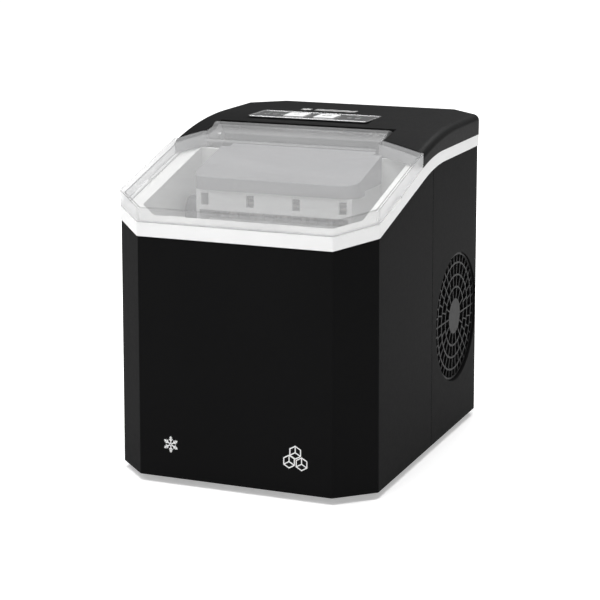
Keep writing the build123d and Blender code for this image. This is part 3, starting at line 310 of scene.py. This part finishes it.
def lens(name, colour):
    """Small lamp window with a faint glow."""
    n = Nodes(name)
    core = n.span(n.noise(500.0), 0.3, 0.7, 0.0, 1.0)
    base = n.mix(core, colour, tuple(c * 0.7 for c in colour))
    return n.set(base=base, rough=n.span(core, 0, 1, 0.12, 0.2), coat=0.6, glow=base, glow_strength=0.05)


def build_materials():
    return {
        "black_plastic": moulded("black_plastic", (0.0068, 0.0068, 0.007), 0.46, specular=0.008),
        "cover_plastic": moulded("cover_plastic", (0.0088, 0.0088, 0.009), 0.48, specular=0.03),
        "band_plastic": moulded("band_plastic", (0.76, 0.76, 0.76), 0.5, specular=0.3, mottle=0.02,
                                worn=0.15),
        "grille_plastic": moulded("grille_plastic", (0.011, 0.011, 0.0113), 0.42, specular=0.05,
                                  edge=0.25 * MM),
        # the lid's second colour is its painted edge shade, near black
        "clear_lid": clear_plastic("clear_lid", (0.56, 0.563, 0.567), (0.04, 0.041, 0.042), alpha_face=0.1,
                                   alpha_side=0.34, alpha_wall=0.26, alpha_edge_shade=0.88, rough=0.1),
        "rubber": rubber("rubber", (0.02, 0.02, 0.02)),
        "steel": brushed("steel", (0.6, 0.6, 0.6), 0.32),
        "panel_silver": brushed("panel_silver", (0.82, 0.82, 0.83), 0.22, stretch=(30, 1, 1)),
        "panel_gloss": moulded("panel_gloss", (0.09, 0.09, 0.092), 0.14, specular=0.5, grain_depth=0.002,
                               coat=0.2),
        "key_plastic": moulded("key_plastic", (0.74, 0.74, 0.745), 0.34, specular=0.5, edge=0.4 * MM),
        "led_lens": lens("led_lens", (0.25, 0.4, 0.3)),
        "circuit_board": circuit("circuit_board", (0.012, 0.09, 0.035)),
        "white_plastic": moulded("white_plastic", (0.78, 0.78, 0.77), 0.42, mottle=0.03, worn=0.12),
        "module_light": moulded("module_light", (0.7, 0.7, 0.7), 0.42, mottle=0.04),
        "module_grey": moulded("module_grey", (0.2, 0.2, 0.205), 0.3, specular=0.6),
        "foam": foam("foam", (0.8, 0.77, 0.66)),
        "nickel_copper": brushed("nickel_copper", (0.66, 0.62, 0.57), 0.24),
        "copper": brushed("copper", (0.72, 0.36, 0.2), 0.28, tarnish=0.35),
        "aluminium_fin": brushed("aluminium_fin", (0.78, 0.79, 0.8), 0.3),
        "black_steel": moulded("black_steel", (0.012, 0.012, 0.013), 0.28, specular=0.5, grain=500.0,
                               coat=0.4),
        "dark_part": moulded("dark_part", (0.02, 0.02, 0.022), 0.42, edge=0.3 * MM),
    }


def dress_nodes(materials):
    for part in frame["record"]["subparts"]:
        node = frame["nodes"][part["node"]]
        node.data.materials.clear()
        node.data.materials.append(materials[part["material_slot"]])


# ---- drawing the marks ------------------------------------------------------------
def arc_points(radius, start, end, steps, centre=(0.0, 0.0)):
    points = []
    for i in range(steps + 1):
        angle = math.radians(start + (end - start) * i / steps)
        points.append((centre[0] + radius * math.cos(angle), centre[1] + radius * math.sin(angle)))
    return points


def add_ribbon(bm, points, width, thick, closed=False):
    """A flat raised line along points, with mitred joints."""
    flat = [Vector((*p, 0.0)) for p in points]
    count = len(flat)
    rows = []
    for i, point in enumerate(flat):
        ahead = flat[(i + 1) % count] - point if closed or i < count - 1 else point - flat[i - 1]
        behind = point - flat[i - 1] if closed or i > 0 else ahead
        across = (ahead.normalized() + behind.normalized()).normalized()
        side = Vector((-across.y, across.x, 0.0))
        reach = width / 2 / max(0.35, side.dot(Vector((-ahead.normalized().y, ahead.normalized().x, 0.0))))
        corners = [point + side * reach, point - side * reach]
        rows.append([bm.verts.new(c + Vector((0, 0, h))) for h in (0.0, thick) for c in corners])
    links = range(count if closed else count - 1)
    for i in links:
        a = rows[i]
        b = rows[(i + 1) % count]
        for p, q in ((2, 3), (3, 1), (1, 0), (0, 2)):
            bm.faces.new((a[p], a[q], b[q], b[p]))
    if not closed:
        bm.faces.new((rows[0][0], rows[0][1], rows[0][3], rows[0][2]))
        bm.faces.new((rows[-1][2], rows[-1][3], rows[-1][1], rows[-1][0]))


def snowflake_lines(radius):
    """Six arms, each with two pairs of twigs."""
    lines = []
    for i in range(6):
        angle = math.radians(30 + 60 * i)
        along = Vector((math.cos(angle), math.sin(angle)))
        lines.append([tuple(along * radius * 0.08), tuple(along * radius)])
        for reach, twig in ((0.45, 0.3), (0.72, 0.2)):
            for turn in (-50, 50):
                tip = Matrix.Rotation(math.radians(turn), 2) @ along
                start = along * radius * reach
                lines.append([tuple(start), tuple(start + tip * radius * twig)])
    return lines


def cube_lines(size, centre=(0.0, 0.0)):
    """Outline of a small ice cube seen from a corner."""
    x, y = centre
    hexagon = arc_points(size, 30, 390, 6, centre)
    lines = [hexagon]
    for i in (1, 3, 5):
        lines.append([(x, y), hexagon[i]])
    return lines


def mark(name, lines, width, material, place, body, thick=INK_THICK):
    """Raised ink lines as one piece that rides on a body."""
    mesh = bpy.data.meshes.new(name)
    bm = bmesh.new()
    for line in lines:
        add_ribbon(bm, line, width, thick)
    bmesh.ops.recalc_face_normals(bm, faces=bm.faces)
    bm.transform(place)
    bm.to_mesh(mesh)
    bm.free()
    mesh.materials.append(material)
    piece = bpy.data.objects.new(name, mesh)
    bpy.context.scene.collection.objects.link(piece)
    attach(piece, body)
    return piece


def front_place(x, z):
    """Matrix that lays a flat drawing on the leaning front face, reading from the front."""
    y = FRONT_FOOT_Y + (z - HOUSING_LOW[2]) * FRONT_DRAFT
    lean = math.atan(FRONT_DRAFT)
    return Matrix.Translation((x, y, z)) @ Matrix.Rotation(math.radians(90) - lean, 4, "X")


def top_place(x, y, z):
    return Matrix.Translation((x, y, z))


def add_front_marks(ink):
    mark("mark_snowflake", snowflake_lines(7.0 * MM), INK_LINE, ink, front_place(*SNOWFLAKE_PLACE),
         "housing")
    cubes = []
    for x, y in ((-8.0, -3.0), (3.0, -4.0), (-2.6, 5.2)):
        cubes += cube_lines(5.4 * MM, (x * MM, y * MM))
    mark("mark_cubes", cubes, INK_LINE, ink, front_place(*CUBES_PLACE), "housing")


def add_top_mark(ink):
    """Snowflake and three waves behind the panel."""
    x = (BEZEL_LOW[0] + BEZEL_HIGH[0]) / 2 - 3 * MM
    y = BEZEL_HIGH[1] + 23 * MM
    lines = [[(px - 22 * MM, py) for px, py in line] for line in snowflake_lines(5.5 * MM)]
    for row in range(3):
        height = (row - 1) * 3.6 * MM
        lines.append([(-13 * MM + 1.6 * MM * i, height + 0.9 * MM * math.sin(0.8 * i)) for i in range(26)])
    mark("mark_top", lines, INK_LINE, ink, top_place(x, y, COVER_TOP), "housing")


def add_key_marks(ink):
    z = POWER_HIGH[2]
    x = (POWER_LOW[0] + POWER_HIGH[0]) / 2
    y = (POWER_LOW[1] + POWER_HIGH[1]) / 2
    ring = arc_points(2.6 * MM, 125, 415, 24)
    bar = [(0.0, 0.8 * MM), (0.0, 3.4 * MM)]
    mark("mark_power", [ring, bar], KEY_LINE, ink, top_place(x, y, z), "power_key",
         thick=KEY_INK_THICK)
    x = (SELECT_LOW[0] + SELECT_HIGH[0]) / 2
    small = cube_lines(1.6 * MM, (-2.6 * MM, -0.7 * MM))
    large = cube_lines(2.5 * MM, (2.0 * MM, 0.2 * MM))
    mark("mark_select", small + large, KEY_LINE, ink, top_place(x, y, z), "select_key",
         thick=KEY_INK_THICK)


def add_panel_marks(ink):
    """Small symbols under the lamps: basket, water drop, open ring and two cube sizes."""
    z = PANEL_HIGH[2]
    centre_x = (PANEL_LOW[0] + PANEL_HIGH[0]) / 2
    y = (PANEL_LOW[1] + PANEL_HIGH[1]) / 2 - 1.5 * MM
    left = centre_x - 46 * MM
    right = centre_x + 34 * MM
    basket = [(-2.2, 1.6), (-1.6, -1.6), (1.6, -1.6), (2.2, 1.6)]
    lines = [[(left + px * MM, y + py * MM) for px, py in basket]]
    drop = [(0, 2.4)] + [(1.6 * math.cos(a), -0.4 + 1.6 * math.sin(a)) for a in
                         [math.radians(30 - 240 * i / 10) for i in range(11)]] + [(0, 2.4)]
    lines.append([(left + (8 + px) * MM, y + py * MM) for px, py in drop])
    lines.append(arc_points(1.8 * MM, 0, 300, 12, (left + 16 * MM, y)))
    lines += cube_lines(1.8 * MM, (right, y))
    lines += cube_lines(2.4 * MM, (right + 8 * MM, y))
    mark("mark_panel", lines, PANEL_LINE, ink, top_place(0, 0, z), "housing",
         thick=PANEL_INK_THICK)


# ---- stage -----------------------------------------------------------------------
def add_floor():
    """Pale floor that glows more with distance, so it runs on to white with no horizon."""
    mesh = bpy.data.meshes.new("floor")
    bm = bmesh.new()
    bmesh.ops.create_grid(bm, x_segments=8, y_segments=8, size=14.0)
    bm.to_mesh(mesh)
    bm.free()
    n = Nodes("floor")
    tone = n.mix(n.span(n.noise(0.8, 2.0), 0.3, 0.7, 0, 1), (0.84, 0.84, 0.84), (0.88, 0.88, 0.88))
    away = n.add("ShaderNodeVectorMath", operation="LENGTH")
    n.link(n.coords, away.inputs[0])
    glow = n.span(away.outputs["Value"], 0.3, 1.6, 0.4, 0.95)
    mesh.materials.append(n.set(base=tone, rough=0.7, specular=0.2, glow=(1.0, 1.0, 1.0), glow_strength=glow))
    floor = bpy.data.objects.new("floor", mesh)
    bpy.context.scene.collection.objects.link(floor)


def add_softbox(name, azimuth, elevation, distance, size, power, aim=(0.0, 0.0, 0.15)):
    data = bpy.data.lights.new(name, "AREA")
    data.shape = "RECTANGLE"
    data.size = size[0]
    data.size_y = size[1]
    data.energy = power
    light = bpy.data.objects.new(name, data)
    a = math.radians(azimuth)
    e = math.radians(elevation)
    outward = Vector((math.sin(a) * math.cos(e), -math.cos(a) * math.cos(e), math.sin(e)))
    light.location = Vector(aim) + outward * distance
    light.rotation_euler = outward.to_track_quat("Z", "Y").to_euler()
    bpy.context.scene.collection.objects.link(light)


def add_world():
    """White to the camera, dimmer as a light, so dark plastic keeps its depth."""
    world = bpy.data.worlds.new("studio")
    world.use_nodes = True
    tree = world.node_tree
    seen = tree.nodes["Background"]
    seen.inputs["Color"].default_value = (1.0, 1.0, 1.0, 1.0)
    seen.inputs["Strength"].default_value = 1.0
    lit = tree.nodes.new("ShaderNodeBackground")
    lit.inputs["Color"].default_value = (1.0, 1.0, 1.0, 1.0)
    lit.inputs["Strength"].default_value = 0.16
    rays = tree.nodes.new("ShaderNodeLightPath")
    blend = tree.nodes.new("ShaderNodeMixShader")
    tree.links.new(rays.outputs["Is Camera Ray"], blend.inputs["Fac"])
    tree.links.new(lit.outputs["Background"], blend.inputs[1])
    tree.links.new(seen.outputs["Background"], blend.inputs[2])
    tree.links.new(blend.outputs["Shader"], tree.nodes["World Output"].inputs["Surface"])
    bpy.context.scene.world = world


def add_lights():
    for softbox in SOFTBOXES:
        add_softbox(*softbox)


# ---- build ---------------------------------------------------------------------------
bpy.context.scene.view_settings.view_transform = "Standard"
add_camera()
materials = build_materials()
dress_nodes(materials)
white_ink = printed("white_ink", (0.85, 0.85, 0.85))
grey_ink = printed("grey_ink", (0.12, 0.12, 0.122))
pale_ink = printed("pale_ink", (0.35, 0.35, 0.355))
add_front_marks(white_ink)
add_top_mark(white_ink)
add_key_marks(grey_ink)
add_panel_marks(pale_ink)
add_floor()
add_world()
add_lights()
